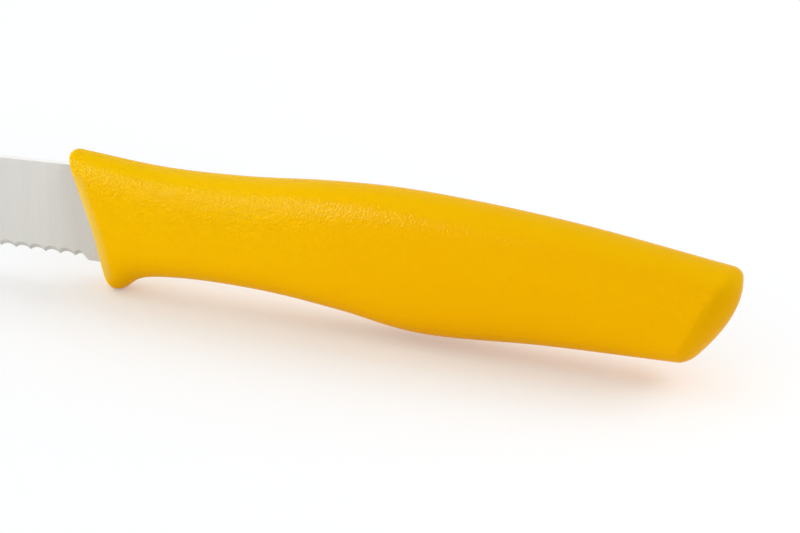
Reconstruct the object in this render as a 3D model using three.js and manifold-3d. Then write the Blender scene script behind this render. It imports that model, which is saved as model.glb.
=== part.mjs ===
// Serrated paring knife: a stamped steel blade with a hidden tang, and a moulded handle round the tang.
// Millimetres. The knife stands on its guard and belly with the spine up: the point is at -X, the butt at +X,
// +Z runs from the edge to the spine, and the left side of the knife faces -Y. Inside this file X counts from
// the front of the handle and Z from the surface the knife stands on; the group at the end centres it.
import * as THREE from 'three';
import * as BufferGeometryUtils from 'three/addons/utils/BufferGeometryUtils.js';
import Module from 'manifold-3d';

const wasm = await Module();
wasm.setup();

// Blade
const BLADE_LENGTH = 100;           // point to the front of the handle
const BLADE_HEIGHT = 15.85;         // tooth tips to spine, at the handle
const BLADE_STOCK = 1.2;            // sheet thickness, kept along the spine
const EDGE_STOCK = 0.5;             // sheet left at the edge by the flat grind
const SPINE_FALL = 0.023;           // drop of the straight spine for each millimetre towards the point
const SPINE_STRAIGHT = 50;          // straight part of the spine
const SPINE_FULLNESS = 33;          // how far forward the curved spine stays full
const EDGE_STRAIGHT = 60;           // straight part of the edge
const EDGE_FULLNESS = 24;           // how far forward the curved edge stays low
const POINT_RISE = 4.2;             // point above the tooth tips

// Serration: round scallops ground into the left side only
const SCALLOP_PITCH = 2.6;
const SCALLOP_DEPTH = 0.56;
const SCALLOP_TILT = 55;            // degrees between the wheel's axis and the square to the blade
const TOOTH_SETBACK = 0.28;         // tooth tips above the unground heel
const FIRST_SCALLOP = 1.1;          // middle of the scallop nearest the handle, behind the handle's front
const PLAIN_POINT = 2.5;            // unserrated edge left at the point
const HEEL_STEP = 1.2;              // corner of the heel behind the middle of that scallop
const HEEL_STEP_LEAN = 42;          // degrees from upright
const WHEEL_LENGTH = 14;
const WHEEL_SEGMENTS = 52;

// Tang
const HEEL_IN_HANDLE = 4.5;         // full-height blade held inside the handle, behind the guard's front
const TANG_HEIGHT = 9.4;
const TANG_END_HEIGHT = 7.4;
const TANG_END_COVER = 46;          // handle left behind the tang
const ANCHOR_HOLE = 4.6;
const ANCHOR_END = 8;               // rear anchor hole to the tang's end
const ANCHOR_SPACING = 21;

// Handle: rails along the top and the bottom, heights from the blade's spine and edge
const HANDLE_LENGTH = 110;
const HANDLE_WIDTH = 15;            // widest, at the belly
const FRONT_WIDTH = 10.1;
const SADDLE_WIDTH = 12.2;
const TAIL_WIDTH = 14.5;
const BUTT_WIDTH = 13.8;
const GUARD_DROP = 4.25;            // guard and belly below the tooth tips
const TOP_FRONT_COVER = 2.55;       // plastic over the spine where the blade goes in
const SADDLE_COVER = 1.0;
const RISE_COVER = 1.15;
const HUMP_COVER = 2.2;
const CROWN_COVER = 2.5;
const SHOULDER_COVER = 0.73;
const BUTT_FALL = 3.5;              // top of the butt below the spine
const SADDLE_AT = 15;
const RISE_AT = 29;
const HUMP_AT = 43;
const CROWN_AT = 56;
const SHOULDER_FROM_BUTT = 30;
const FRONT_LEAD = 0.9;             // top rail runs past the rounded front
const BUTT_SHORT = 0.15;            // rails stop short of the bulging butt
const FRONT_SLANT = 6.8;            // guard behind the top of the front
const FRONT_HOLLOW = 2.05;          // front face scooped back between guard and top
const GUARD_LENGTH = 2.5;
const HOLLOW_RISE = 3.5;            // finger hollow above the guard
const HOLLOW_FRONT = 13;            // finger hollow behind the guard
const HOLLOW_REAR = 33;
const BELLY_AT = 59;
const TAIL_RISE = 0.98;
const TAIL_AT = 80;
const HEEL_RISE = 1.35;
const BUTT_SLANT = 7.25;            // bottom of the butt ahead of its top
const BUTT_CROWN = 2.55;            // bulge of the butt's face from bottom to top
const BUTT_DOME = 3.6;              // bulge of the butt's face from side to side
const FRONT_RADIUS = 1.7;
const BUTT_RADIUS = 1.2;
const SECTION_POWER = 2.4;          // 2 is an ellipse, more is squarer
const STATIONS = 44;
const AROUND = 36;
const ROUNDING_STEPS = 5;
const BUTT_SHARES = [0.75, 0.5, 0.25, 0.06];  // widths of the rings that close the domed butt

// Fit
const MOULD_CLEARANCE = 0.3;        // between the steel and the plastic round it

const edgeZ = GUARD_DROP;
const heelZ = edgeZ - TOOTH_SETBACK;
const spineZ = edgeZ + BLADE_HEIGHT;
const guardX = FRONT_SLANT - FRONT_LEAD;
const heelEndX = guardX + HEEL_IN_HANDLE;
const tangEndX = HANDLE_LENGTH - TANG_END_COVER;
const tangMidZ = (edgeZ + spineZ) / 2;
const pointZ = edgeZ + POINT_RISE;

/** A closed three.js geometry as a solid that can be cut and joined. */
function solid(geometry) {
  geometry.deleteAttribute('normal');
  geometry.deleteAttribute('uv');
  const merged = BufferGeometryUtils.mergeVertices(geometry, 1e-4);
  return new wasm.Manifold(new wasm.Mesh({
    numProp: 3,
    vertProperties: new Float32Array(merged.attributes.position.array),
    triVerts: new Uint32Array(merged.index.array),
  }));
}

/** The finished solid as a three.js geometry. */
function geometryOf(body) {
  const mesh = body.getMesh();
  const geometry = new THREE.BufferGeometry();
  geometry.setAttribute('position', new THREE.BufferAttribute(new Float32Array(mesh.vertProperties), 3));
  geometry.setIndex(new THREE.BufferAttribute(new Uint32Array(mesh.triVerts), 1));
  geometry.computeVertexNormals();
  return geometry;
}

/** A side-view outline pushed out to a thickness, centred on the plane Y = 0. */
function plate(shape, thickness, curveSegments) {
  const geometry = new THREE.ExtrudeGeometry(shape, { depth: thickness, bevelEnabled: false, curveSegments });
  geometry.translate(0, 0, -thickness / 2);
  geometry.rotateX(Math.PI / 2);
  return solid(geometry);
}

/** Half the thickness that the flat grind leaves at a height. */
function groundHalf(z) {
  return EDGE_STOCK / 2 + (BLADE_STOCK - EDGE_STOCK) / 2 * (z - heelZ) / (spineZ - heelZ);
}

/** Spine height on its straight part. */
function spineAt(x) {
  return spineZ + SPINE_FALL * Math.min(x, 0);
}

/** The edge before serration, from the heel to the point. */
function edgePath() {
  const path = new THREE.CurvePath();
  const bend = new THREE.Vector2(-EDGE_STRAIGHT, heelZ);
  const point = new THREE.Vector2(-BLADE_LENGTH, pointZ);
  const low = new THREE.Vector2(-EDGE_STRAIGHT - EDGE_FULLNESS, heelZ);
  path.add(new THREE.LineCurve(new THREE.Vector2(heelEndX, heelZ), bend));
  path.add(new THREE.QuadraticBezierCurve(bend, low, point));
  return path;
}

/** Side view of blade and tang; grow widens it for the pocket in the handle. */
function sheetShape(grow) {
  const half = TANG_HEIGHT / 2 + grow;
  const endHalf = TANG_END_HEIGHT / 2 + grow;
  const endX = tangEndX + grow;
  const shape = new THREE.Shape();
  shape.moveTo(-BLADE_LENGTH - grow, pointZ);
  shape.quadraticCurveTo(-EDGE_STRAIGHT - EDGE_FULLNESS, heelZ - grow, -EDGE_STRAIGHT, heelZ - grow);
  shape.lineTo(heelEndX + grow, heelZ - grow);
  shape.lineTo(heelEndX + grow, tangMidZ - half);
  shape.lineTo(endX - endHalf, tangMidZ - endHalf);
  shape.absarc(endX - endHalf, tangMidZ, endHalf, -Math.PI / 2, Math.PI / 2, false);
  shape.lineTo(heelEndX + grow, tangMidZ + half);
  shape.lineTo(heelEndX + grow, spineZ + grow);
  shape.lineTo(0, spineZ + grow);
  shape.lineTo(-SPINE_STRAIGHT, spineAt(-SPINE_STRAIGHT) + grow);
  const fullX = -SPINE_STRAIGHT - SPINE_FULLNESS;
  shape.quadraticCurveTo(fullX, spineAt(fullX) + grow, -BLADE_LENGTH - grow, pointZ);
  for (const back of [ANCHOR_END, ANCHOR_END + ANCHOR_SPACING]) {
    const hole = new THREE.Path();
    hole.absarc(tangEndX - back, tangMidZ, ANCHOR_HOLE / 2 - grow, 0, Math.PI * 2, true);
    shape.holes.push(hole);
  }
  return shape;
}

/** The wedge that the flat grind leaves ahead of the tang, and the full sheet behind it. */
function thicknessEnvelope(grow) {
  const low = heelZ - 2;
  const high = spineZ + 2;
  const wedge = new THREE.Shape();
  wedge.moveTo(-groundHalf(low) - grow, low);
  wedge.lineTo(groundHalf(low) + grow, low);
  wedge.lineTo(groundHalf(high) + grow, high);
  wedge.lineTo(-groundHalf(high) - grow, high);
  wedge.closePath();
  const length = BLADE_LENGTH + heelEndX + 2;
  const ground = new THREE.ExtrudeGeometry(wedge, { depth: length, bevelEnabled: false });
  ground.rotateX(Math.PI / 2);
  ground.rotateZ(Math.PI / 2);
  ground.translate(-BLADE_LENGTH - 2, 0, 0);
  const stockLength = tangEndX - heelEndX + 4;
  const stock = new THREE.BoxGeometry(stockLength, BLADE_STOCK + 2 * grow, high - low);
  stock.translate(heelEndX - 1 + stockLength / 2, 0, (low + high) / 2);
  return solid(ground).add(solid(stock));
}

/** Blade and tang without serration. */
function sheet(grow) {
  return plate(sheetShape(grow), BLADE_STOCK + 2 * grow + 1, 14).intersect(thicknessEnvelope(grow));
}

/** Every scallop of the edge as one cutter: tilted wheels, which bite deeper on the left side. */
function scallopCutter() {
  const tilt = THREE.MathUtils.degToRad(SCALLOP_TILT);
  const half = SCALLOP_PITCH / 2;
  const rise = SCALLOP_DEPTH * Math.cos(tilt);
  const radius = (half * half + rise * rise) / (2 * rise);
  const crest = TOOTH_SETBACK + SCALLOP_DEPTH;
  const path = edgePath();
  const total = path.getLength();
  const start = heelEndX - FIRST_SCALLOP;
  const count = Math.floor((total - start - PLAIN_POINT) / SCALLOP_PITCH) + 1;
  const wheels = [];
  for (let i = 0; i < count; i += 1) {
    const u = (start + i * SCALLOP_PITCH) / total;
    const at = path.getPointAt(u);
    const along = path.getTangentAt(u);
    const inward = new THREE.Vector3(along.y, 0, -along.x);
    const axis = new THREE.Vector3(0, -Math.cos(tilt), 0).addScaledVector(inward, Math.sin(tilt));
    const wheel = new THREE.CylinderGeometry(radius, radius, WHEEL_LENGTH, WHEEL_SEGMENTS);
    wheel.applyQuaternion(new THREE.Quaternion().setFromUnitVectors(new THREE.Vector3(0, 1, 0), axis));
    const centre = new THREE.Vector3(at.x, EDGE_STOCK / 2, at.y);
    centre.addScaledVector(inward, crest - radius / Math.cos(tilt));
    wheel.translate(centre.x, centre.y, centre.z);
    wheels.push(solid(wheel));
  }
  const lean = THREE.MathUtils.degToRad(HEEL_STEP_LEAN);
  const reach = 2 * BLADE_LENGTH;
  const ahead = new THREE.BoxGeometry(reach, 2 * WHEEL_LENGTH, reach);
  ahead.rotateY(-lean);
  ahead.translate(-Math.cos(lean) * reach / 2, 0, -Math.sin(lean) * reach / 2);
  ahead.translate(FIRST_SCALLOP + HEEL_STEP, 0, heelZ);
  return wasm.Manifold.union(wheels).intersect(solid(ahead));
}

/** Top and bottom rails of the handle in the plane Y = 0. */
function handleRails() {
  const rail = (points) => {
    const knots = points.map(([x, z]) => new THREE.Vector3(x, 0, z));
    return new THREE.CatmullRomCurve3(knots, false);
  };
  const top = rail([
    [-FRONT_LEAD, spineZ + TOP_FRONT_COVER],
    [SADDLE_AT, spineZ + SADDLE_COVER],
    [RISE_AT, spineZ + RISE_COVER],
    [HUMP_AT, spineZ + HUMP_COVER],
    [CROWN_AT, spineZ + CROWN_COVER],
    [HANDLE_LENGTH - SHOULDER_FROM_BUTT, spineZ + SHOULDER_COVER],
    [HANDLE_LENGTH - BUTT_SHORT, spineZ - BUTT_FALL],
  ]);
  const bottom = rail([
    [guardX, 0],
    [guardX + GUARD_LENGTH, 0.1],
    [guardX + 6, HOLLOW_RISE * 0.68],
    [guardX + HOLLOW_FRONT, HOLLOW_RISE],
    [HOLLOW_REAR, HOLLOW_RISE],
    [(HOLLOW_REAR + BELLY_AT) / 2, HOLLOW_RISE * 0.6],
    [BELLY_AT, 0.08],
    [TAIL_AT, TAIL_RISE],
    [HANDLE_LENGTH - BUTT_SLANT - BUTT_SHORT, HEEL_RISE],
  ]);
  return { top, bottom, length: (top.getLength() + bottom.getLength()) / 2 };
}

/** A smooth step from 0 to 1. */
function ease(t) {
  const k = THREE.MathUtils.clamp(t, 0, 1);
  return k * k * (3 - 2 * k);
}

/** Width of the handle against the share of its length. */
const handleWidths = new THREE.CubicInterpolant(
  [0, 0.2, 0.55, 0.85, 1],
  [FRONT_WIDTH, SADDLE_WIDTH, HANDLE_WIDTH, TAIL_WIDTH, BUTT_WIDTH],
  1,
  new Float32Array(1),
);

/** One ring of the handle: a squared oval between the rails, less an inset, at a share of its width. */
function handleRing(rails, u, inset, share = 1) {
  const high = rails.top.getPointAt(u);
  const low = rails.bottom.getPointAt(u);
  const mid = high.clone().add(low).multiplyScalar(0.5);
  const half = high.distanceTo(low) / 2;
  const up = high.clone().sub(low).normalize();
  const halfWidth = handleWidths.evaluate(u)[0] / 2;
  const late = ease((u - 0.8) / 0.2);
  const crown = BUTT_CROWN * late + FRONT_HOLLOW * ease(1 - u / 0.15);
  const ring = [];
  for (let i = 0; i < AROUND; i += 1) {
    const turn = ((i + 0.5) / AROUND) * Math.PI * 2;
    const c = Math.cos(turn);
    const s = Math.sin(turn);
    const y = Math.sign(c) * Math.abs(c) ** (2 / SECTION_POWER) * (halfWidth - inset) * share;
    const z = Math.sign(s) * Math.abs(s) ** (2 / SECTION_POWER) * (half - inset);
    const point = mid.clone().addScaledVector(up, z);
    point.x += crown * (1 - (z / half) ** 2) - BUTT_DOME * late * (2 * y / BUTT_WIDTH) ** 2;
    point.y = y;
    ring.push(point);
  }
  return ring;
}

/** The handle before the pocket is cut: rings from the rounded front to the domed butt, closed at both ends. */
function handleBody() {
  const rails = handleRails();
  const frontU = FRONT_RADIUS / rails.length;
  const buttU = 1 - BUTT_RADIUS / rails.length;
  const rings = [];
  for (let k = 0; k < ROUNDING_STEPS; k += 1) {
    const turn = (Math.PI / 2) * (1 - k / ROUNDING_STEPS);
    rings.push(handleRing(rails, frontU * (1 - Math.sin(turn)), FRONT_RADIUS * (1 - Math.cos(turn))));
  }
  for (let k = 0; k <= STATIONS; k += 1) {
    const t = (k / STATIONS) ** 1.35;
    rings.push(handleRing(rails, frontU + (buttU - frontU) * t, 0));
  }
  for (let k = 1; k <= ROUNDING_STEPS; k += 1) {
    const turn = (Math.PI / 2) * (k / ROUNDING_STEPS);
    rings.push(handleRing(rails, buttU + (1 - buttU) * Math.sin(turn), BUTT_RADIUS * (1 - Math.cos(turn))));
  }
  for (const share of BUTT_SHARES) {
    rings.push(handleRing(rails, 1, BUTT_RADIUS, share));
  }
  const index = [];
  for (let r = 0; r + 1 < rings.length; r += 1) {
    for (let i = 0; i < AROUND; i += 1) {
      const a = r * AROUND + i;
      const b = r * AROUND + ((i + 1) % AROUND);
      index.push(a, b, a + AROUND, b, b + AROUND, a + AROUND);
    }
  }
  closeEnd(index, 0, false);
  closeEnd(index, (rings.length - 1) * AROUND, true);
  const geometry = new THREE.BufferGeometry().setFromPoints(rings.flat());
  geometry.setIndex(index);
  return solid(geometry);
}

/** Closes a ring with rungs from side to side, so the face keeps the curve of the ring. */
function closeEnd(index, first, rear) {
  const place = (i) => first + ((i % AROUND) + AROUND) % AROUND;
  const crest = AROUND / 4;
  for (let k = 0; k + 1 < AROUND / 2; k += 1) {
    const a = place(crest - 1 - k);
    const b = place(crest + k);
    const c = place(crest + k + 1);
    const d = place(crest - 2 - k);
    if (rear) {
      index.push(a, b, c, a, c, d);
    } else {
      index.push(a, c, b, a, d, c);
    }
  }
}

const steel = new THREE.MeshStandardMaterial({ color: 0xcfccc4, roughness: 0.38, metalness: 1 });
steel.name = 'blade_steel';
const plastic = new THREE.MeshStandardMaterial({ color: 0xeeb304, roughness: 0.55 });
plastic.name = 'handle_plastic';

const blade = new THREE.Mesh(geometryOf(sheet(0).subtract(scallopCutter())), steel);
blade.name = 'blade';

const handle = new THREE.Mesh(geometryOf(handleBody().subtract(sheet(MOULD_CLEARANCE))), plastic);
handle.name = 'handle';

const knife = new THREE.Group();
knife.add(blade, handle);
const box = new THREE.Box3().setFromObject(knife);
knife.position.set(-(box.min.x + box.max.x) / 2, 0, -box.min.z);
knife.updateMatrixWorld(true);

export default knife;
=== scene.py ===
"""Looks of the serrated paring knife: a grained yellow handle moulded round a satin steel blade."""

import logging
import math
from bisect import bisect_right
from dataclasses import dataclass
from enum import Enum

import bmesh
import bpy
from mathutils import Matrix, Vector
from mathutils.geometry import interpolate_bezier

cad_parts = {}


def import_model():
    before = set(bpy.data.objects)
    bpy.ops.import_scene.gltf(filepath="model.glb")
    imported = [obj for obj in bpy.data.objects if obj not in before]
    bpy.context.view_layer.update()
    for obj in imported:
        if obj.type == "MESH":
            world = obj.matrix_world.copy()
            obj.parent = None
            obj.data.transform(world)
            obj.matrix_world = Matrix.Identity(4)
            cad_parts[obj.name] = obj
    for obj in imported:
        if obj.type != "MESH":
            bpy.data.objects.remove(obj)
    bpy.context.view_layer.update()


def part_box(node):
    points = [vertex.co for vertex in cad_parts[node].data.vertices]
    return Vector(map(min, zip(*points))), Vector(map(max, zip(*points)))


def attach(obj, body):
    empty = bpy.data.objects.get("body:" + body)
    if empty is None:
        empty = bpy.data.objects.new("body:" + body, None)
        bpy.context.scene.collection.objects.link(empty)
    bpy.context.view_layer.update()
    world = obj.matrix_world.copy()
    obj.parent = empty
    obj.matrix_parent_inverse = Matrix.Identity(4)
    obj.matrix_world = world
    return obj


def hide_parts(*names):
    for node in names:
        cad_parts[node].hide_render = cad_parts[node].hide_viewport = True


LOG = logging.getLogger("paring_knife")
MM = 0.001


class Row(Enum):
    """Corners of the blade's cross-section, in order round it."""

    LEFT_CREST = 0
    LEFT_SPINE = 1
    RIGHT_SPINE = 2
    RIGHT_EDGE = 3


class Face(Enum):
    """Finishes on the blade, in the order of its material slots."""

    SIDE = 0
    SCALLOP = 1
    SPINE = 2


class Reach(Enum):
    """What a lamp lights: all, the handle, only the highlights on the handle, the blade or the table."""

    ALL = 0
    HANDLE = 1
    GLINTS = 2
    BLADE = 3
    TABLE = 4


class SmoothLine:
    """A line in the knife's middle plane that is read by its own length."""

    KNOT_POINTS = 90
    BEND_POINTS = 160
    PROBE = 0.4

    def __init__(self, points: list[Vector]) -> None:
        """Measures the line.

        Args:
            points: close points along the line.
        """
        self.points = points
        self.reach = [0.0]
        for a, b in zip(points, points[1:]):
            self.reach.append(self.reach[-1] + (b - a).length)

    @classmethod
    def through(cls, knots: list[tuple[float, float]]) -> "SmoothLine":
        """Draws a smooth line through knots, slower where they stand close.

        Args:
            knots: (x, z) of each knot.

        Returns:
            The line.
        """
        p = [Vector((x, 0.0, z)) for x, z in knots]
        p = [2 * p[0] - p[1], *p, 2 * p[-1] - p[-2]]
        points: list[Vector] = []
        for a, b, c, d in zip(p, p[1:], p[2:], p[3:]):
            ab, bc, cd = ((q - r).length ** 0.5 for q, r in ((b, a), (c, b), (d, c)))
            leave = ((b - a) / ab - (c - a) / (ab + bc) + (c - b) / bc) * bc
            arrive = ((c - b) / bc - (d - b) / (bc + cd) + (d - c) / cd) * bc
            span = interpolate_bezier(b, b + leave / 3, c - arrive / 3, c, cls.KNOT_POINTS)
            points = points[:-1] + span
        return cls(points)

    @classmethod
    def bent(
        cls, run: list[tuple[float, float]], pull: tuple[float, float], end: tuple[float, float]
    ) -> "SmoothLine":
        """Draws straight runs and then one bend to the end.

        Args:
            run: (x, z) corners of the straight runs.
            pull: where the tangents of the bend meet.
            end: where the bend ends.

        Returns:
            The line.
        """
        straight = [Vector((x, 0.0, z)) for x, z in run]
        start, mid, stop = straight[-1], Vector((pull[0], 0.0, pull[1])), Vector((end[0], 0.0, end[1]))
        pulls = start.lerp(mid, 2 / 3), stop.lerp(mid, 2 / 3)
        bend = interpolate_bezier(start, *pulls, stop, cls.BEND_POINTS)
        return cls(straight[:-1] + bend)

    @property
    def length(self) -> float:
        """Length of the line."""
        return self.reach[-1]

    def at(self, distance: float) -> Vector:
        """Point at a distance from the start.

        Args:
            distance: length along the line.

        Returns:
            The point.
        """
        i = min(max(bisect_right(self.reach, distance) - 1, 0), len(self.points) - 2)
        step = self.reach[i + 1] - self.reach[i]
        return self.points[i].lerp(self.points[i + 1], min(max((distance - self.reach[i]) / step, 0.0), 1.0))

    def inward(self, distance: float) -> Vector:
        """Direction square to the line, to the right of its run.

        Args:
            distance: length along the line.

        Returns:
            A unit vector in the middle plane.
        """
        ahead = self.at(min(distance + self.PROBE, self.length))
        run = ahead - self.at(max(distance - self.PROBE, 0.0))
        return Vector((run.z, 0.0, -run.x)).normalized()

    def height(self, x: float) -> float:
        """Height of the line over a place along the knife, for a line that runs towards the point.

        Args:
            x: place along the knife.

        Returns:
            Height z.
        """
        i = min(max(bisect_right(self.points, -x, key=lambda p: -p.x) - 1, 0), len(self.points) - 2)
        a, b = self.points[i], self.points[i + 1]
        return a.z + (b.z - a.z) * min(max((x - a.x) / (b.x - a.x), 0.0), 1.0)


@dataclass(frozen=True)
class Datum:
    """Where the drawing's zero, the front of the handle on the table, lies in the frame."""

    x: float
    z: float

    @classmethod
    def of_blade(cls, blade: "BladeSheet") -> "Datum":
        """Finds the zero from the solid blade's point and spine.

        Args:
            blade: sizes of the blade.

        Returns:
            The datum, in metres.
        """
        low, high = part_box("blade")
        return cls(low.x + blade.length * MM, high.z - blade.spine_z * MM)

    def place(self, bm: bmesh.types.BMesh) -> None:
        """Turns a mesh drawn in millimetres from the drawing's zero into metres in the frame."""
        bmesh.ops.scale(bm, vec=(MM, MM, MM), verts=bm.verts)
        bmesh.ops.translate(bm, vec=(self.x, 0.0, self.z), verts=bm.verts)


class Wiring:
    """Adds and joins the nodes of one tree."""

    def __init__(self, tree: bpy.types.NodeTree) -> None:
        """Starts with an empty tree.

        Args:
            tree: node tree to fill.
        """
        self.tree = tree
        tree.nodes.clear()

    @classmethod
    def of_material(cls, name: str) -> tuple[bpy.types.Material, "Wiring"]:
        """Makes a material whose tree is empty.

        Args:
            name: name of the material.

        Returns:
            The material and its wiring.
        """
        material = bpy.data.materials.new(name)
        material.use_nodes = True
        return material, cls(material.node_tree)

    def add(self, kind: str, values: dict[str, object] | None = None, **options: object) -> bpy.types.Node:
        """Adds a node.

        Args:
            kind: type of the node.
            values: values of its inputs by name.
            options: options of the node by name.

        Returns:
            The node.
        """
        node = self.tree.nodes.new(kind)
        for name, option in options.items():
            setattr(node, name, option)
        for name, value in (values or {}).items():
            node.inputs[name].default_value = value
        return node

    def join(self, source: bpy.types.NodeSocket, target: bpy.types.NodeSocket) -> None:
        """Joins two sockets."""
        self.tree.links.new(source, target)

    def maths(self, work: str, *terms: object) -> bpy.types.NodeSocket:
        """Adds a Math node.

        Args:
            work: operation of the node.
            terms: a socket or a number for each input.

        Returns:
            The result's socket.
        """
        node = self.add("ShaderNodeMath", operation=work)
        for socket, term in zip(node.inputs, terms):
            if isinstance(term, bpy.types.NodeSocket):
                self.join(term, socket)
            else:
                socket.default_value = term
        return node.outputs[0]

    def span(
        self, value: bpy.types.NodeSocket, low: tuple[float, float], high: tuple[float, float]
    ) -> bpy.types.NodeSocket:
        """Carries a value from one range to another, held at the ends.

        Args:
            value: socket to read.
            low: value and result at the low end.
            high: value and result at the high end.

        Returns:
            The result's socket.
        """
        node = self.add("ShaderNodeMapRange", clamp=True)
        self.join(value, node.inputs["Value"])
        node.inputs["From Min"].default_value, node.inputs["To Min"].default_value = low
        node.inputs["From Max"].default_value, node.inputs["To Max"].default_value = high
        return node.outputs["Result"]

    def tint(self, mask: bpy.types.NodeSocket, first: object, second: object) -> bpy.types.NodeSocket:
        """Mixes two colours by a mask.

        Args:
            mask: 0 for the first colour, 1 for the second.
            first: a socket or linear RGB.
            second: a socket or linear RGB.

        Returns:
            The colour's socket.
        """
        node = self.add("ShaderNodeMix", data_type="RGBA")
        self.join(mask, node.inputs["Factor"])
        for name, colour in (("A", first), ("B", second)):
            socket = next(s for s in node.inputs if s.name == name and s.type == "RGBA")
            if isinstance(colour, bpy.types.NodeSocket):
                self.join(colour, socket)
            else:
                socket.default_value = (*colour, 1.0)
        return next(s for s in node.outputs if s.type == "RGBA")

    def layer(self, name: str) -> bpy.types.NodeSocket:
        """Reads a number that the mesh holds at its vertices."""
        return self.add("ShaderNodeAttribute", attribute_name=name).outputs["Fac"]

    def emboss(self, shader: bpy.types.Node, height: bpy.types.NodeSocket, distance: float) -> None:
        """Gives a shader a raised texture.

        Args:
            shader: shader to raise.
            height: socket of the texture.
            distance: how far a height of 1 is raised, in metres.
        """
        bump = self.add("ShaderNodeBump", {"Distance": distance})
        self.join(height, bump.inputs["Height"])
        self.join(bump.outputs["Normal"], shader.inputs["Normal"])

    def show(self, shader: bpy.types.Node, kind: str = "ShaderNodeOutputMaterial") -> None:
        """Sends a shader to the tree's output."""
        self.join(shader.outputs[0], self.add(kind).inputs["Surface"])


class Effects:
    """Node groups that several finishes share."""

    PIT_SCALE = 0.8
    DRIFT_SCALE = 0.035
    PEBBLE_SHARE = 0.65
    PIT_SHARE = 0.5

    def __init__(self) -> None:
        """Builds each group once."""
        self.grain = self._spark_grain()
        self.lines = self._grind_lines()

    @staticmethod
    def _group(
        name: str, inputs: dict[str, str], outputs: dict[str, str]
    ) -> tuple[bpy.types.NodeTree, Wiring]:
        """Starts a group with named sockets.

        Args:
            name: name of the group.
            inputs: socket type by name.
            outputs: socket type by name.

        Returns:
            The group and its wiring.
        """
        group = bpy.data.node_groups.new(name, "ShaderNodeTree")
        for side, sockets in (("INPUT", inputs), ("OUTPUT", outputs)):
            for label, kind in sockets.items():
                group.interface.new_socket(label, in_out=side, socket_type=kind)
        return group, Wiring(group)

    def _spark_grain(self) -> bpy.types.NodeTree:
        """Fine pebbled texture that a spark-eroded mould leaves, with a slow drift of tone."""
        group, w = self._group(
            "spark_grain",
            {"Vector": "NodeSocketVector", "Scale": "NodeSocketFloat", "Keep": "NodeSocketFloat"},
            {"Height": "NodeSocketFloat", "Drift": "NodeSocketFloat"},
        )
        given = w.add("NodeGroupInput")
        fine = w.add("ShaderNodeTexNoise", {"Detail": 2.0, "Roughness": 0.55})
        pits = w.add("ShaderNodeTexVoronoi", {"Smoothness": 0.6}, feature="SMOOTH_F1")
        drift = w.add("ShaderNodeTexNoise", {"Detail": 3.0})
        for node, share in ((fine, 1.0), (pits, self.PIT_SCALE), (drift, self.DRIFT_SCALE)):
            w.join(given.outputs["Vector"], node.inputs["Vector"])
            w.join(w.maths("MULTIPLY", given.outputs["Scale"], share), node.inputs["Scale"])
        pebbles = w.maths("MULTIPLY", fine.outputs["Fac"], self.PEBBLE_SHARE)
        mixed = w.maths("ADD", pebbles, w.maths("MULTIPLY", pits.outputs["Distance"], self.PIT_SHARE))
        out = w.add("NodeGroupOutput")
        w.join(w.maths("MULTIPLY", mixed, given.outputs["Keep"]), out.inputs["Height"])
        w.join(drift.outputs["Fac"], out.inputs["Drift"])
        return group

    def _grind_lines(self) -> bpy.types.NodeTree:
        """Fine parallel lines that a grinding belt leaves, with a slow drift of tone across them."""
        group, w = self._group(
            "grind_lines",
            {"Vector": "NodeSocketVector", "Stretch": "NodeSocketVector"},
            {"Lines": "NodeSocketFloat", "Drift": "NodeSocketFloat"},
        )
        given = w.add("NodeGroupInput")
        stretched = w.add("ShaderNodeVectorMath", operation="MULTIPLY")
        w.join(given.outputs["Vector"], stretched.inputs[0])
        w.join(given.outputs["Stretch"], stretched.inputs[1])
        lines = w.add("ShaderNodeTexNoise", {"Scale": 1.0, "Detail": 3.0, "Roughness": 0.7})
        drift = w.add("ShaderNodeTexNoise", {"Scale": 0.06, "Detail": 2.0})
        out = w.add("NodeGroupOutput")
        for node, name in ((lines, "Lines"), (drift, "Drift")):
            w.join(stretched.outputs[0], node.inputs["Vector"])
            w.join(node.outputs["Fac"], out.inputs[name])
        return group


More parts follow.
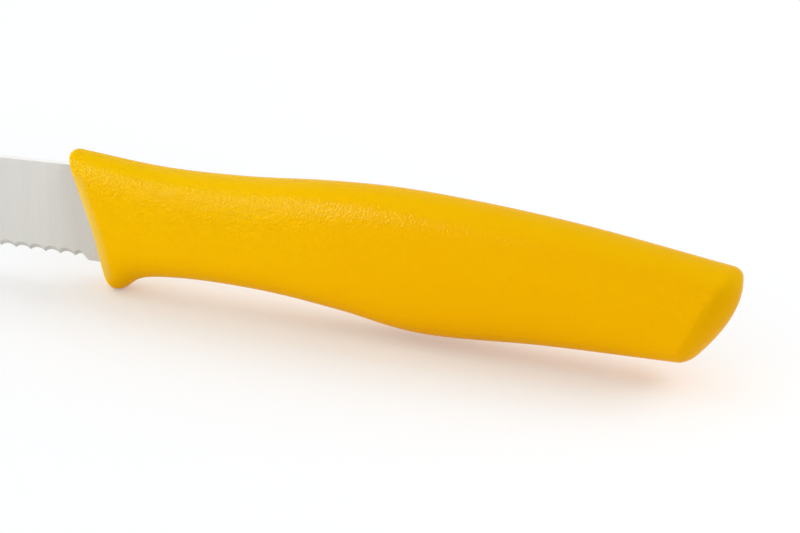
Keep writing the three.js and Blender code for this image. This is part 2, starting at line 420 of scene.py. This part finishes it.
@dataclass(frozen=True)
class GrainedPlastic:
    """Yellow moulded plastic: fine grain on the grip, smooth along the front rim, with painted reflection
    and shade in its colour.
    """

    name: str = "grained_yellow_plastic"
    colour: tuple[float, float, float] = (0.752, 0.441, 0.0006)
    # Deeper orange used as painted shade on the sides and towards the tail; the plain colour stays on the
    # lit top crest.
    painted_shade: tuple[float, float, float] = (0.748, 0.379, 0.0004)
    # Paler strip colour: a painted reflection of the bright surroundings on the rounded front edge.
    rim_painted_reflection: tuple[float, float, float] = (0.672, 0.430, 0.056)
    drift: float = 0.08
    drift_span: tuple[float, float] = (0.35, 0.65)
    roughness: float = 0.21
    gloss: float = 0.008
    gloss_tint: tuple[float, float, float] = (0.55, 0.95, 0.38)
    grain_scale: float = 3000.0
    grain_height: float = 0.000240

    def make(self, effects: Effects) -> bpy.types.Material:
        """Builds the material.

        Args:
            effects: shared node groups.

        Returns:
            The material.
        """
        material, w = Wiring.of_material(self.name)
        shader = w.add(
            "ShaderNodeBsdfPrincipled",
            {
                "Roughness": self.roughness,
                "Specular IOR Level": self.gloss,
                "Specular Tint": (*self.gloss_tint, 1.0),
            },
        )
        place = w.add("ShaderNodeTexCoord")
        grain = w.add("ShaderNodeGroup", {"Scale": self.grain_scale}, node_tree=effects.grain)
        w.join(place.outputs["Object"], grain.inputs["Vector"])
        w.join(w.layer("grain"), grain.inputs["Keep"])
        pale, dark = self.drift_span
        drift = w.span(grain.outputs["Drift"], (pale, -self.drift), (dark, self.drift))
        # Painted shade: a deeper tone on the sides and towards the tail, mixed with a random drift of tone.
        grip = w.tint(w.maths("ADD", w.layer("painted_shade"), drift), self.colour, self.painted_shade)
        # Painted reflection: the front strip is paler.
        w.join(w.tint(w.layer("rim"), grip, self.rim_painted_reflection), shader.inputs["Base Color"])
        w.emboss(shader, grain.outputs["Height"], self.grain_height)
        w.show(shader)
        return material


@dataclass(frozen=True)
class GroundSteel:
    """Stainless steel with the lines of its last grinding."""

    name: str
    colour: tuple[float, float, float]
    shade: tuple[float, float, float]
    roughness: tuple[float, float]
    stretch: tuple[float, float, float]
    line_height: float
    tone_span: tuple[float, float] = (0.7, 1.3)
    line_span: tuple[float, float] = (0.3, 0.7)

    def make(self, effects: Effects) -> bpy.types.Material:
        """Builds the material.

        Args:
            effects: shared node groups.

        Returns:
            The material.
        """
        material, w = Wiring.of_material(self.name)
        shader = w.add("ShaderNodeBsdfPrincipled", {"Metallic": 1.0})
        place = w.add("ShaderNodeTexCoord")
        ground = w.add("ShaderNodeGroup", {"Stretch": self.stretch}, node_tree=effects.lines)
        w.join(place.outputs["Object"], ground.inputs["Vector"])
        mixed = w.maths("ADD", ground.outputs["Lines"], ground.outputs["Drift"])
        pale, dark = self.tone_span
        tone = w.span(mixed, (pale, 0.0), (dark, 1.0))
        w.join(w.tint(tone, self.colour, self.shade), shader.inputs["Base Color"])
        low, high = zip(self.line_span, self.roughness)
        w.join(w.span(ground.outputs["Lines"], low, high), shader.inputs["Roughness"])
        w.emboss(shader, ground.outputs["Lines"], self.line_height)
        w.show(shader)
        return material


STEELS = {
    Face.SIDE: GroundSteel(
        name="satin_side_steel",
        colour=(0.655, 0.643, 0.612),
        shade=(0.635, 0.623, 0.592),
        roughness=(0.66, 0.72),
        stretch=(9000.0, 300.0, 120.0),
        line_height=0.0000006,
    ),
    Face.SCALLOP: GroundSteel(
        name="ground_scallop_steel",
        colour=(0.57, 0.56, 0.52),
        shade=(0.49, 0.48, 0.44),
        roughness=(0.26, 0.40),
        stretch=(12000.0, 900.0, 900.0),
        line_height=0.0000015,
    ),
    Face.SPINE: GroundSteel(
        name="linished_spine_steel",
        colour=(0.95, 0.94, 0.92),
        shade=(0.91, 0.90, 0.88),
        roughness=(0.26, 0.36),
        stretch=(200.0, 9000.0, 9000.0),
        line_height=0.0000012,
    ),
}


def to_object(bm: bmesh.types.BMesh, name: str) -> bpy.types.Object:
    """Turns a finished bmesh into an object in the scene.

    Args:
        bm: mesh to use up.
        name: name of the object.

    Returns:
        The object, at the origin.
    """
    mesh = bpy.data.meshes.new(name)
    bm.to_mesh(mesh)
    bm.free()
    thing = bpy.data.objects.new(name, mesh)
    bpy.context.scene.collection.objects.link(thing)
    return thing


def far_edges(grown: list[object]) -> list[bmesh.types.BMEdge]:
    """Picks the edges at the far end of what an extrusion added.

    Args:
        grown: vertices, edges and faces that it added.

    Returns:
        The edges whose two ends are both new.
    """
    new = {g for g in grown if isinstance(g, bmesh.types.BMVert)}
    return [g for g in grown if isinstance(g, bmesh.types.BMEdge) and new.issuperset(g.verts)]


def ease(t: float) -> float:
    """A smooth step from 0 to 1."""
    k = min(max(t, 0.0), 1.0)
    return k * k * (3.0 - 2.0 * k)


def blend_through(knots: list[tuple[float, float]], t: float) -> float:
    """Reads a smooth curve through knots whose slopes are the mean of their neighbours'.

    Args:
        knots: (place, value) pairs in order.
        t: place to read.

    Returns:
        The value there.
    """
    slopes = [(b[1] - a[1]) / (b[0] - a[0]) for a, b in zip(knots, knots[1:])]
    leaving = [slopes[0], *((a + b) / 2 for a, b in zip(slopes, slopes[1:])), slopes[-1]]
    i = min(max(bisect_right([k[0] for k in knots], t) - 1, 0), len(knots) - 2)
    (t0, v0), (t1, v1) = knots[i], knots[i + 1]
    run = t1 - t0
    p = min(max((t - t0) / run, 0.0), 1.0)
    rise = v1 - v0
    start, stop = leaving[i] * run, leaving[i + 1] * run
    return v0 + p * (start + p * (3 * rise - 2 * start - stop + p * (start + stop - 2 * rise)))


@dataclass(frozen=True)
class Ring:
    """One ring of the handle's sweep.

    Attributes:
        share: share of the handle's length.
        inset: how far the ring is drawn in at a rounded end.
        across: share of the width that is left, below 1 on the end faces.
    """

    share: float
    inset: float = 0.0
    across: float = 1.0


@dataclass
class HandleMoulding:
    """Handle moulded round the tang: a squared oval swept between a top and a bottom rail.

    Sizes are in millimetres. A cover is height above the blade's spine, a rise is height above the table,
    and what ends in _at is a place behind the drawing's zero. Shares are parts of the handle's length.
    """

    length: float = 110.0
    spine_z: float = 20.10

    # Widths across, and where along the handle they are reached.
    front_width: float = 10.1
    saddle_width: float = 12.2
    grip_width: float = 15.0
    tail_width: float = 14.5
    butt_width: float = 13.8
    saddle_share: float = 0.2
    grip_share: float = 0.55
    tail_share: float = 0.85

    # Top rail.
    front_lead: float = 0.9
    front_cover: float = 2.55
    saddle_at: float = 15.0
    saddle_cover: float = 1.0
    rise_at: float = 29.0
    rise_cover: float = 1.15
    hump_at: float = 43.0
    hump_cover: float = 2.2
    crown_at: float = 56.0
    crown_cover: float = 2.5
    shoulder_from_butt: float = 30.0
    shoulder_cover: float = 0.73
    butt_short: float = 0.15
    butt_fall: float = 3.5

    # Bottom rail, whose first runs are measured from the front of the guard.
    guard_length: float = 2.5
    guard_rise: float = 0.1
    flank_run: float = 6.0
    flank_rise: float = 2.38
    hollow_run: float = 13.0
    hollow_at: float = 33.0
    hollow_rise: float = 3.5
    swell_at: float = 46.0
    swell_rise: float = 2.1
    belly_at: float = 59.0
    belly_rise: float = 0.08
    tail_at: float = 80.0
    tail_rise: float = 0.98
    heel_rise: float = 1.35

    # Slanted hollow front and slanted domed butt.
    front_slant: float = 6.8
    front_hollow: float = 2.05
    front_share: float = 0.15
    front_radius: float = 1.7
    butt_slant: float = 7.25
    butt_crown: float = 2.29
    butt_skew: float = 0.15
    butt_dome: float = 3.6
    butt_from: float = 0.8
    butt_share: float = 0.2
    butt_radius: float = 1.2

    # Squared oval of the section.
    section_power: float = 2.4
    section_trim: float = 0.996

    # Smoother strip along the front, where a paler reflection is painted.
    rim_start: float = 0.5
    rim_reach: float = 1.5
    rim_fade: float = 1.2
    rim_low: float = 2.0
    rim_high: float = 18.5
    rim_taper: float = 2.0
    rim_calm: float = 0.75

    # Where the grain is weaker, and where shade is painted as a deeper tone: towards the tail and off the
    # top crest.
    tail_from: float = 0.18
    tail_run: float = 0.42
    tail_calm: float = 0.6
    tail_shade_share: float = 0.47
    under_from: float = 0.2
    under_run: float = 0.5
    under_calm: float = 0.75
    crest_from: float = 0.7
    crest_calm: float = 0.5

    # Fineness of the mesh.
    around: int = 96
    stations: int = 96
    crowding: float = 1.35
    face_steps: int = 4
    front_steps: int = 10
    butt_steps: int = 12
    weld: float = 1e-5

    def rails(self) -> tuple[SmoothLine, SmoothLine]:
        """Draws the top and the bottom rail.

        Returns:
            The two lines, both from the front to the butt.
        """
        z, guard = self.spine_z, self.front_slant - self.front_lead
        top = [
            (-self.front_lead, z + self.front_cover),
            (self.saddle_at, z + self.saddle_cover),
            (self.rise_at, z + self.rise_cover),
            (self.hump_at, z + self.hump_cover),
            (self.crown_at, z + self.crown_cover),
            (self.length - self.shoulder_from_butt, z + self.shoulder_cover),
            (self.length - self.butt_short, z - self.butt_fall),
        ]
        bottom = [
            (guard, 0.0),
            (guard + self.guard_length, self.guard_rise),
            (guard + self.flank_run, self.flank_rise),
            (guard + self.hollow_run, self.hollow_rise),
            (self.hollow_at, self.hollow_rise),
            (self.swell_at, self.swell_rise),
            (self.belly_at, self.belly_rise),
            (self.tail_at, self.tail_rise),
            (self.length - self.butt_slant - self.butt_short, self.heel_rise),
        ]
        return SmoothLine.through(top), SmoothLine.through(bottom)

    def width(self, share: float) -> float:
        """Width of the handle.

        Args:
            share: share of its length from the front.

        Returns:
            The width.
        """
        return blend_through(
            [
                (0.0, self.front_width),
                (self.saddle_share, self.saddle_width),
                (self.grip_share, self.grip_width),
                (self.tail_share, self.tail_width),
                (1.0, self.butt_width),
            ],
            share,
        )

    def rings(self, run: float) -> list[Ring]:
        """Lists the rings of the sweep.

        Args:
            run: mean length of the rails.

        Returns:
            The rings, from the middle of the front face to the middle of the butt.
        """
        front, butt = self.front_radius / run, 1.0 - self.butt_radius / run
        found = [Ring(0.0, self.front_radius, k / self.face_steps) for k in range(self.face_steps)]
        for k in range(self.front_steps):
            turn = math.pi / 2 * (1.0 - k / self.front_steps)
            found.append(Ring(front * (1.0 - math.sin(turn)), self.front_radius * (1.0 - math.cos(turn))))
        for k in range(self.stations + 1):
            found.append(Ring(front + (butt - front) * (k / self.stations) ** self.crowding))
        for k in range(1, self.butt_steps + 1):
            turn = math.pi / 2 * k / self.butt_steps
            inset = self.butt_radius * (1.0 - math.cos(turn))
            found.append(Ring(butt + (1.0 - butt) * math.sin(turn), inset))
        for k in range(1, self.butt_steps + 1):
            found.append(Ring(1.0, self.butt_radius, 1.0 - k / self.butt_steps))
        return found

    def build(self, datum: Datum) -> bpy.types.Object:
        """Extrudes the section ring by ring along the rails and closes both ends.

        Args:
            datum: where the drawing's zero lies.

        Returns:
            The handle.
        """
        top, bottom = self.rails()
        run = (top.length + bottom.length) / 2
        bm = bmesh.new()
        layers = bm.verts.layers.float
        for name in ("turn", "rim", "grain", "painted_shade"):
            layers.new(name)
        turn = layers["turn"]
        bmesh.ops.create_circle(bm, radius=1.0, segments=self.around)
        for v in bm.verts:
            v[turn] = math.atan2(v.co.y, v.co.x) + math.pi / self.around
        verts = list(bm.verts)
        edges = list(bm.edges)
        for k, ring in enumerate(self.rings(run)):
            if k:
                grown = bmesh.ops.extrude_edge_only(bm, edges=edges)["geom"]
                verts = [g for g in grown if isinstance(g, bmesh.types.BMVert)]
                edges = far_edges(grown)
            high, low = top.at(ring.share * top.length), bottom.at(ring.share * bottom.length)
            self._set_ring(verts, turn, ring, high, low)
            self._paint_ring(verts, layers, ring.share, ring.share * run)
        bmesh.ops.remove_doubles(bm, verts=bm.verts, dist=self.weld)
        bmesh.ops.recalc_face_normals(bm, faces=bm.faces)
        for f in bm.faces:
            f.smooth = True
        datum.place(bm)
        return to_object(bm, "handle_moulding")

    def _set_ring(
        self,
        verts: list[bmesh.types.BMVert],
        turn: bmesh.types.BMLayerItem,
        ring: Ring,
        high: Vector,
        low: Vector,
    ) -> None:
        """Puts one ring on the rails.

        Args:
            verts: its vertices.
            turn: layer that holds each vertex's angle round the section.
            ring: the ring.
            high: point on the top rail.
            low: point on the bottom rail.
        """
        mid, up = (high + low) / 2, (high - low).normalized()
        half = (high - low).length / 2
        wide = (self.width(ring.share) / 2 - ring.inset) * self.section_trim
        tall = (half - ring.inset) * self.section_trim
        late = ease((ring.share - self.butt_from) / self.butt_share)
        hollow = self.front_hollow * ease(1.0 - ring.share / self.front_share)
        power = 2.0 / self.section_power
        for v in verts:
            c, s = math.cos(v[turn]), math.sin(v[turn])
            z = math.copysign(abs(s) ** power, s) * tall
            v.co = mid + up * z
            v.co.y = math.copysign(abs(c) ** power, c) * wide * ring.across
            crown = self.butt_crown * late * (1.0 + self.butt_skew * z / half)
            dome = self.butt_dome * late * (2 * v.co.y / self.butt_width) ** 2
            v.co.x += (hollow + crown) * (1.0 - (z / half) ** 2) - dome

    def _paint_ring(
        self,
        verts: list[bmesh.types.BMVert],
        layers: bmesh.types.BMLayerCollection,
        share: float,
        back: float,
    ) -> None:
        """Writes what the finish reads: the front strip with its painted reflection, the grain's strength
        and the painted shade.

        Args:
            verts: vertices of one ring.
            layers: the handle's layers by name.
            share: share of the handle's length.
            back: distance behind the front.
        """
        turn, rim, grain, painted_shade = (layers[name] for name in ("turn", "rim", "grain", "painted_shade"))
        strip = ease(back / self.rim_start) * (1.0 - ease((back - self.rim_reach) / self.rim_fade))
        tail = ease((share - self.tail_from) / self.tail_run)
        for v in verts:
            above = ease((v.co.z - self.rim_low) / self.rim_taper)
            below = 1.0 - ease((v.co.z - self.rim_high) / self.rim_taper)
            # Mask of the painted reflection on the front strip; it also calms the grain there.
            v[rim] = above * below * strip
            crest = ease((math.sin(v[turn]) - self.crest_from) / (1.0 - self.crest_from))
            under = ease((self.under_from - math.sin(v[turn])) / self.under_run)
            calm = (1.0 - self.rim_calm * v[rim]) * (1.0 - self.under_calm * under)
            v[grain] = calm * (1.0 - self.tail_calm * tail) * (1.0 - self.crest_calm * crest)
            # Painted shade: deeper towards the tail and away from the lit top crest.
            v[painted_shade] = self.tail_shade_share * tail + (1.0 - self.tail_shade_share) * (1.0 - crest)

    def dress(self, thing: bpy.types.Object, effects: Effects) -> None:
        """Gives the handle its finish and its place in the frame."""
        thing.data.materials.append(GrainedPlastic().make(effects))
        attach(thing, "root")
        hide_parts("handle")


@dataclass
class BladeSheet:
    """Flat-ground steel sheet whose edge is scalloped from the left side only.

    Sizes are in millimetres and degrees. Places along the knife are measured from the drawing's zero.
    """

    length: float = 100.0
    height: float = 15.85
    stock: float = 1.2
    edge_stock: float = 0.5
    spine_bevel: float = 0.14

    # Outline from the plain heel to the point.
    heel_end: float = 10.4
    edge_z: float = 4.25
    edge_straight: float = 60.0
    edge_fullness: float = 24.0
    spine_fall: float = 0.023
    spine_straight: float = 50.0
    spine_fullness: float = 33.0
    point_rise: float = 4.2

    # Scallops, ground by tilted wheels.
    pitch: float = 2.6
    depth: float = 0.56
    tilt: float = 55.0
    setback: float = 0.28
    first_scallop: float = 1.1
    plain_point: float = 2.5
    heel_step: float = 1.2
    heel_lean: float = 42.0

    # Fineness of the mesh.
    heel_cuts: int = 6
    cuts: int = 18
    point_cuts: int = 24
    point_crowding: float = 1.5
    settle_rounds: int = 4
    point_margin: float = 0.6
    crease: float = 14.0
    weld: float = 1e-4

    @property
    def heel_z(self) -> float:
        """Height of the plain heel's edge."""
        return self.edge_z - self.setback

    @property
    def spine_z(self) -> float:
        """Height of the spine where it leaves the handle."""
        return self.edge_z + self.height

    def half(self, z: float) -> float:
        """Half the thickness that the flat grind leaves at a height."""
        share = (z - self.heel_z) / (self.spine_z - self.heel_z)
        return (self.edge_stock + (self.stock - self.edge_stock) * share) / 2

    def edge_line(self) -> SmoothLine:
        """The edge before it is scalloped, from the heel to the point."""
        run = [(self.heel_end, self.heel_z), (-self.edge_straight, self.heel_z)]
        pull = (-self.edge_straight - self.edge_fullness, self.heel_z)
        return SmoothLine.bent(run, pull, (-self.length, self.edge_z + self.point_rise))

    def spine_line(self) -> SmoothLine:
        """The spine, from the heel to the point."""
        full = self.spine_straight + self.spine_fullness
        run = [
            (self.heel_end, self.spine_z),
            (0.0, self.spine_z),
            (-self.spine_straight, self.spine_z - self.spine_fall * self.spine_straight),
        ]
        pull = (-full, self.spine_z - self.spine_fall * full)
        return SmoothLine.bent(run, pull, (-self.length, self.edge_z + self.point_rise))

    def scallop_places(self, total: float) -> list[float]:
        """Lists the middles of the scallops.

        Args:
            total: length of the edge.

        Returns:
            Distance of each along the edge.
        """
        start = self.heel_end - self.first_scallop
        count = int((total - start - self.plain_point) / self.pitch) + 1
        return [start + k * self.pitch for k in range(count)]

    def rise(self, distance: float, x: float, y: float, places: list[float]) -> float:
        """Height that the grinding wheels take off the edge.

        Args:
            distance: length along the edge.
            x: place along the knife.
            y: place across the blade.
            places: middles of the scallops.

        Returns:
            Height above the plain edge, square to it.
        """
        tilt = math.radians(self.tilt)
        sag = self.depth * math.cos(tilt)
        radius = ((self.pitch / 2) ** 2 + sag**2) / (2 * sag)
        nearest = min(abs(distance - p) for p in places)
        drop = (radius - math.sqrt(max(radius**2 - min(nearest, radius) ** 2, 0.0))) / math.cos(tilt)
        cut = self.setback + self.depth - drop - math.tan(tilt) * (y - self.edge_stock / 2)
        lean = math.radians(self.heel_lean)
        wall = (self.first_scallop + self.heel_step - x) / math.tan(lean)
        return max(min(cut, wall), 0.0)

    def steps(self, total: float, places: list[float]) -> list[float]:
        """Lists the cross-sections, close together along the scallops.

        Args:
            total: length of the edge.
            places: middles of the scallops.

        Returns:
            Distances along the edge.
        """
        first, last = places[0] - self.pitch / 2, places[-1] + self.pitch / 2
        teeth = round((last - first) / self.pitch * self.cuts)
        found = [first * k / self.heel_cuts for k in range(self.heel_cuts)]
        found += [first + (last - first) * k / teeth for k in range(teeth)]
        for k in range(self.point_cuts + 1):
            left = (1.0 - k / self.point_cuts) ** self.point_crowding
            found.append(last + (total - last) * (1.0 - left))
        return found

    def build(self, datum: Datum) -> bpy.types.Object:
        """Extrudes the cross-section along the edge, then breaks the corners of the spine.

        Args:
            datum: where the drawing's zero lies.

        Returns:
            The blade.
        """
        edge, spine = self.edge_line(), self.spine_line()
        places = self.scallop_places(edge.length)
        bm = bmesh.new()
        row = bm.verts.layers.int.new("row")
        section = [bm.verts.new() for _ in Row]
        for v, kind in zip(section, Row):
            v[row] = kind.value
        edges = [bm.edges.new((a, b)) for a, b in zip(section, section[1:] + section[:1])]
        for k, distance in enumerate(self.steps(edge.length, places)):
            if k:
                grown = bmesh.ops.extrude_edge_only(bm, edges=edges)["geom"]
                section = [g for g in grown if isinstance(g, bmesh.types.BMVert)]
                edges = far_edges(grown)
            self._set_section(section, row, distance, edge, spine, places)
            if not k:
                bmesh.ops.edgeloop_fill(bm, edges=edges)
        for f in bm.faces:
            kinds = {Row(v[row]) for v in f.verts}
            face = Face.SIDE
            if kinds == {Row.LEFT_CREST, Row.RIGHT_EDGE}:
                face = Face.SCALLOP
            elif kinds == {Row.LEFT_SPINE, Row.RIGHT_SPINE}:
                face = Face.SPINE
            f.material_index = face.value
        bmesh.ops.remove_doubles(bm, verts=bm.verts, dist=self.weld)
        bmesh.ops.recalc_face_normals(bm, faces=bm.faces)
        self._break_spine(bm, row)
        for f in bm.faces:
            f.smooth = True
        for e in bm.edges:
            e.smooth = e.calc_face_angle(0.0) < math.radians(self.crease)
        datum.place(bm)
        return to_object(bm, "blade_sheet")

    def _set_section(
        self,
        section: list[bmesh.types.BMVert],
        row: bmesh.types.BMLayerItem,
        distance: float,
        edge: SmoothLine,
        spine: SmoothLine,
        places: list[float],
    ) -> None:
        """Puts one cross-section on the edge and the spine.

        Args:
            section: its corners.
            row: layer that holds which corner each is.
            distance: length along the edge.
            edge: the plain edge.
            spine: the spine.
            places: middles of the scallops.
        """
        foot, inward = edge.at(distance), edge.inward(distance)
        top = spine.height(foot.x)
        for v in section:
            kind = Row(v[row])
            side = -1.0 if kind in (Row.LEFT_CREST, Row.LEFT_SPINE) else 1.0
            v.co = Vector((foot.x, 0.0, top))
            if kind in (Row.LEFT_CREST, Row.RIGHT_EDGE):
                v.co = foot
                for _ in range(self.settle_rounds):
                    v.co = foot + inward * self.rise(distance, foot.x, side * self.half(v.co.z), places)
            v.co.y = side * self.half(v.co.z)

    def _break_spine(self, bm: bmesh.types.BMesh, row: bmesh.types.BMLayerItem) -> None:
        """Bevels the two long corners of the spine."""
        corners: list[bmesh.types.BMEdge] = []
        for e in bm.edges:
            kinds = {Row(v[row]) for v in e.verts}
            behind_point = all(v.co.x > self.point_margin - self.length for v in e.verts)
            if behind_point and kinds in ({Row.LEFT_SPINE}, {Row.RIGHT_SPINE}):
                corners.append(e)
        bmesh.ops.bevel(
            bm,
            geom=corners,
            offset=self.spine_bevel,
            affect="EDGES",
            segments=2,
            profile=0.5,
            material=-1,
            offset_type="OFFSET",
        )

    def dress(self, thing: bpy.types.Object, effects: Effects) -> None:
        """Gives the blade its finishes and its place in the frame."""
        for face in Face:
            thing.data.materials.append(STEELS[face].make(effects))
        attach(thing, "root")
        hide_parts("blade")


@dataclass(frozen=True)
class SoftBox:
    """A large soft lamp that faces the knife; the table doesn't block one that hangs below it."""

    name: str
    azimuth: float
    elevation: float
    size: tuple[float, float]
    power: float
    distance: float = 1.2
    reach: Reach = Reach.ALL
    tint: tuple[float, float, float] = (1.0, 1.0, 1.0)

    def hang(self, target: Vector, lit: dict[Reach, bpy.types.Collection]) -> None:
        """Hangs the lamp.

        Args:
            target: point that it faces.
            lit: what a lamp with a short reach lights.
        """
        data = bpy.data.lights.new(self.name, "AREA")
        data.shape = "RECTANGLE"
        data.size, data.size_y = self.size
        data.energy = self.power
        data.color = self.tint
        lamp = bpy.data.objects.new(self.name, data)
        lamp.visible_camera = False
        lamp.visible_diffuse = self.reach is not Reach.GLINTS
        if self.reach in lit:
            lamp.light_linking.receiver_collection = lit[self.reach]
        if self.elevation < 0.0:
            lamp.light_linking.blocker_collection = lit[self.reach]
        bpy.context.scene.collection.objects.link(lamp)
        out = direction(self.azimuth, self.elevation)
        lamp.location = target + out * self.distance
        lamp.rotation_euler = (-out).to_track_quat("-Z", "Y").to_euler()


def direction(azimuth: float, elevation: float) -> Vector:
    """Direction from the knife.

    Args:
        azimuth: degrees, 0 towards -Y and 90 towards +X.
        elevation: degrees above the table.

    Returns:
        A unit vector.
    """
    a, e = math.radians(azimuth), math.radians(elevation)
    return Vector((math.sin(a) * math.cos(e), -math.cos(a) * math.cos(e), math.sin(e)))


@dataclass
class Studio:
    """White table, soft lamps and the camera."""

    table_radius: float = 0.3
    table_pitch: float = 1.6
    foot_x: float = 0.0022
    table_colour: tuple[float, float, float] = (0.952, 0.970, 0.990)
    table_lift: float = 0.22
    fill: float = 0.83
    focus: tuple[float, float, float] = (0.05025, 0.0, 0.01008)
    azimuth: float = 20.0
    elevation: float = 22.0
    distance: float = 0.620
    lens: float = 179.68
    lamps: tuple[SoftBox, ...] = (
        SoftBox("back_right_box", azimuth=130.0, elevation=40.0, size=(0.6, 0.5), power=2.55),
        SoftBox("low_back_right_box", azimuth=135.0, elevation=10.0, size=(1.0, 0.3), power=1.2),
        SoftBox("low_front_left_box", azimuth=-45.0, elevation=14.0, size=(0.9, 0.3), power=2.5),
        SoftBox("right_box", azimuth=102.0, elevation=35.0, size=(0.2, 0.3), power=1.5, reach=Reach.TABLE),
        SoftBox("top_box", azimuth=0.0, elevation=88.0, size=(0.8, 0.8), power=1.0, reach=Reach.HANDLE),
        SoftBox(
            "key_box",
            azimuth=-62.0,
            elevation=22.0,
            size=(0.25, 0.25),
            power=1.3,
            distance=0.6,
            reach=Reach.HANDLE,
        ),
        SoftBox(
            "bounce_box",
            azimuth=-20.0,
            elevation=-72.0,
            size=(0.9, 0.6),
            power=2.4,
            reach=Reach.HANDLE,
            tint=(1.0, 0.42, 0.1),
        ),
        SoftBox(
            "glint_box",
            azimuth=-55.0,
            elevation=43.0,
            size=(0.10, 0.16),
            power=26.0,
            distance=0.45,
            reach=Reach.GLINTS,
        ),
        SoftBox(
            "blade_box",
            azimuth=55.0,
            elevation=35.0,
            size=(0.3, 0.3),
            power=5.0,
            distance=0.8,
            reach=Reach.BLADE,
        ),
    )

    def build(self, blade: bpy.types.Object, handle: bpy.types.Object) -> None:
        """Sets the table, the surroundings, the lamps and the camera.

        Args:
            blade: the blade, for its own lamp.
            handle: the handle, for its own lamps.
        """
        owners = {
            Reach.BLADE: blade,
            Reach.HANDLE: handle,
            Reach.GLINTS: handle,
            Reach.TABLE: self._table(),
        }
        lit: dict[Reach, bpy.types.Collection] = {}
        for reach, thing in owners.items():
            lit[reach] = bpy.data.collections.new(f"lit_{reach.name.lower()}")
            lit[reach].objects.link(thing)
        self._surroundings()
        for box in self.lamps:
            box.hang(Vector(self.focus), lit)
        self._camera()

    def _table(self) -> bpy.types.Object:
        """Lays the round white table top, which falls away from the guard's foot to the butt.

        Returns:
            The table top.
        """
        bm = bmesh.new()
        bmesh.ops.create_circle(bm, cap_ends=True, radius=self.table_radius, segments=64)
        fall = Matrix.Rotation(math.radians(self.table_pitch), 3, "Y")
        bmesh.ops.rotate(bm, cent=(self.foot_x, 0.0, 0.0), matrix=fall, verts=bm.verts)
        table = to_object(bm, "table_top")
        material, w = Wiring.of_material("white_table")
        paint = w.add("ShaderNodeBsdfDiffuse", {"Color": (*self.table_colour, 1.0)})
        glow = w.add("ShaderNodeEmission")
        mixed = w.add("ShaderNodeMixShader")
        w.join(w.span(self._seen(w), (0.0, 0.0), (1.0, self.table_lift)), mixed.inputs[0])
        w.join(paint.outputs[0], mixed.inputs[1])
        w.join(glow.outputs[0], mixed.inputs[2])
        w.show(mixed)
        table.data.materials.append(material)
        return table

    @staticmethod
    def _seen(w: Wiring) -> bpy.types.NodeSocket:
        """Tells whether a ray comes from the eye, straight, mirrored or through glass.

        Args:
            w: wiring of the tree that asks.

        Returns:
            A socket that is 1 for such a ray and 0 for one that only lights.
        """
        path = w.add("ShaderNodeLightPath")
        seen = w.maths("MAXIMUM", path.outputs["Is Camera Ray"], path.outputs["Is Glossy Ray"])
        return w.maths("MAXIMUM", seen, path.outputs["Is Transmission Ray"])

    def _surroundings(self) -> None:
        """Surrounds the table with white, full where it is seen or mirrored, softer where it lights."""
        world = bpy.data.worlds.new("white_room")
        world.use_nodes = True
        bpy.context.scene.world = world
        w = Wiring(world.node_tree)
        back = w.add("ShaderNodeBackground", {"Color": (1.0, 1.0, 1.0, 1.0)})
        w.join(w.span(self._seen(w), (0.0, self.fill), (1.0, 1.0)), back.inputs["Strength"])
        w.show(back, "ShaderNodeOutputWorld")

    def _camera(self) -> None:
        """Stands the camera where the photograph was taken from."""
        data = bpy.data.cameras.new("camera")
        data.sensor_fit = "HORIZONTAL"
        data.sensor_width = 36.0
        data.lens = self.lens
        data.clip_start, data.clip_end = 0.01, 20.0
        camera = bpy.data.objects.new("camera", data)
        bpy.context.scene.collection.objects.link(camera)
        back = direction(self.azimuth, self.elevation)
        camera.location = Vector(self.focus) + back * self.distance
        camera.rotation_euler = (-back).to_track_quat("-Z", "Y").to_euler()
        bpy.context.scene.camera = camera


def main() -> None:
    """Builds the knife in its frame, then the studio round it."""
    logging.basicConfig(level=logging.INFO, format="%(message)s")
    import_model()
    effects = Effects()
    blade, handle = BladeSheet(), HandleMoulding()
    datum = Datum.of_blade(blade)
    things: list[bpy.types.Object] = []
    for part in (blade, handle):
        thing = part.build(datum)
        part.dress(thing, effects)
        things.append(thing)
        LOG.info("%s: %d faces", thing.name, len(thing.data.polygons))
    Studio().build(*things)
    bpy.context.scene.view_settings.view_transform = "Standard"


if __name__ == "__main__":
    main()
